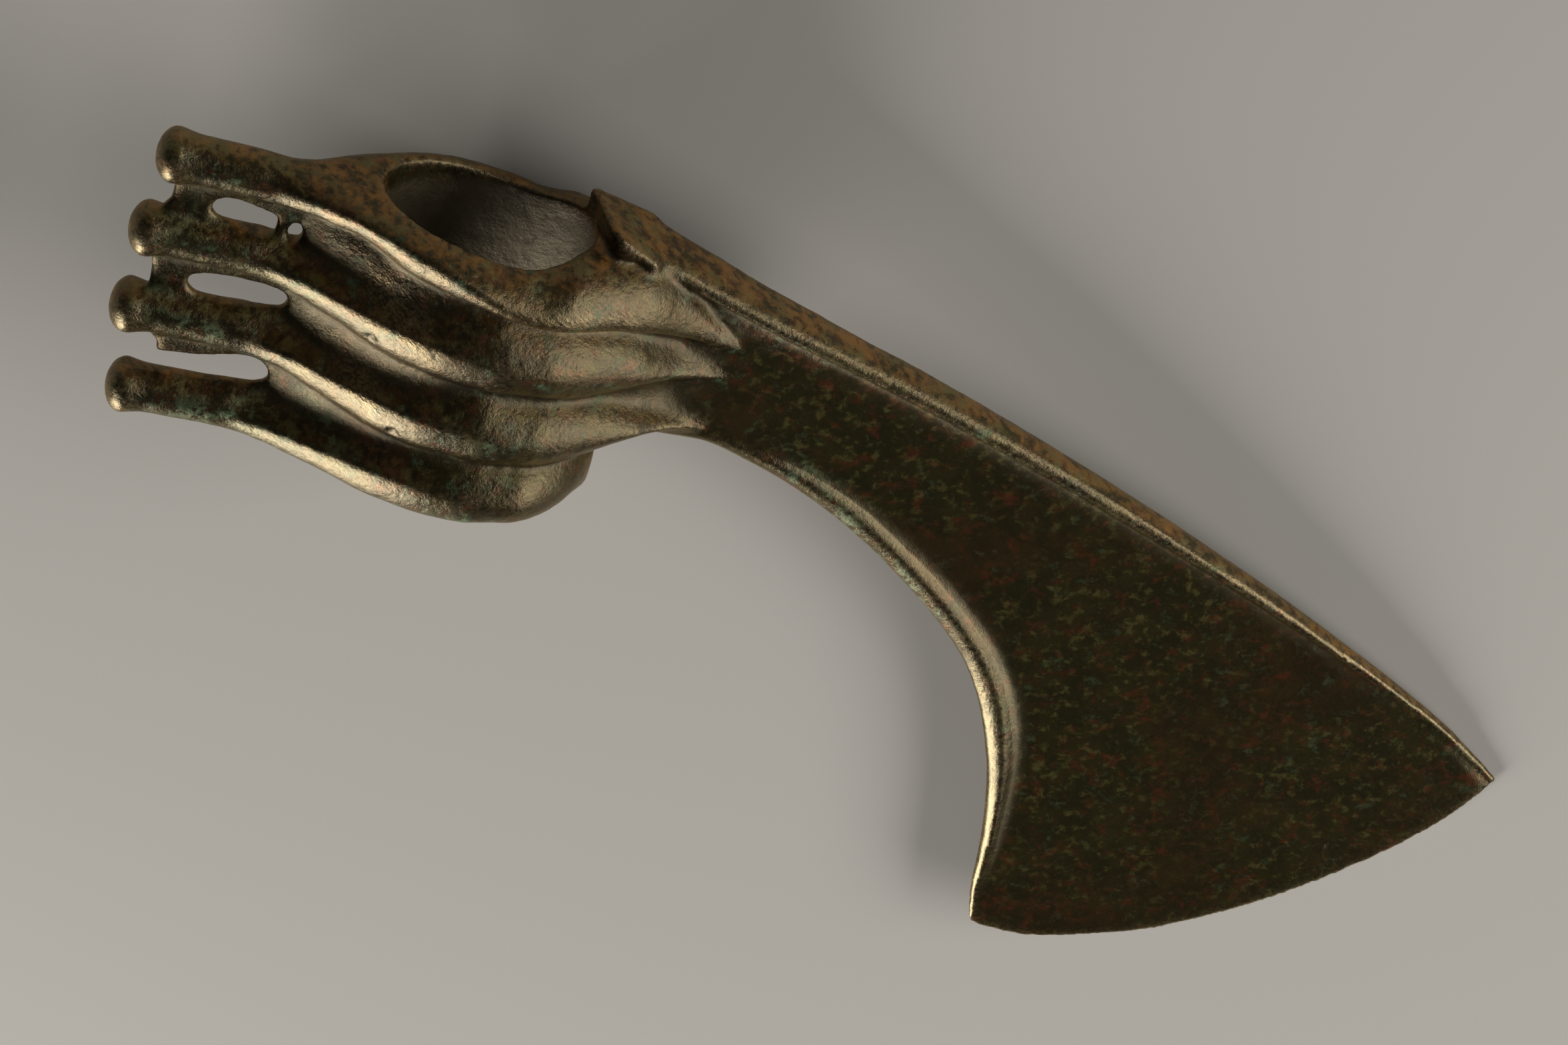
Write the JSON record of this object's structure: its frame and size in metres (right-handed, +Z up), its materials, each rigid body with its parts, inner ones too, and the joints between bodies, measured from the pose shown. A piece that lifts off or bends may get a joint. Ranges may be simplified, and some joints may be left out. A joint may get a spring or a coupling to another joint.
{
  "type": "bronze axe head",
  "caption": "Cast bronze shaft-hole axe head with finger-like spikes behind the socket and a fanned blade with a curved cutting edge.",
  "frame": {"origin": "centre of the lying head's box, at its underside", "axes": "+X towards the blade, +Y along the shaft hole towards its top rim, +Z up out of the surface that the head lies on"},
  "size_m": [0.2294, 0.134, 0.0333],
  "materials": {
    "bronze": "old cast bronze with a dark green-brown patina, semi-gloss, malachite spots and worn crests"
  },
  "bodies": {
    "root": {"axe_head": "bronze"}
  },
  "joints": []
}
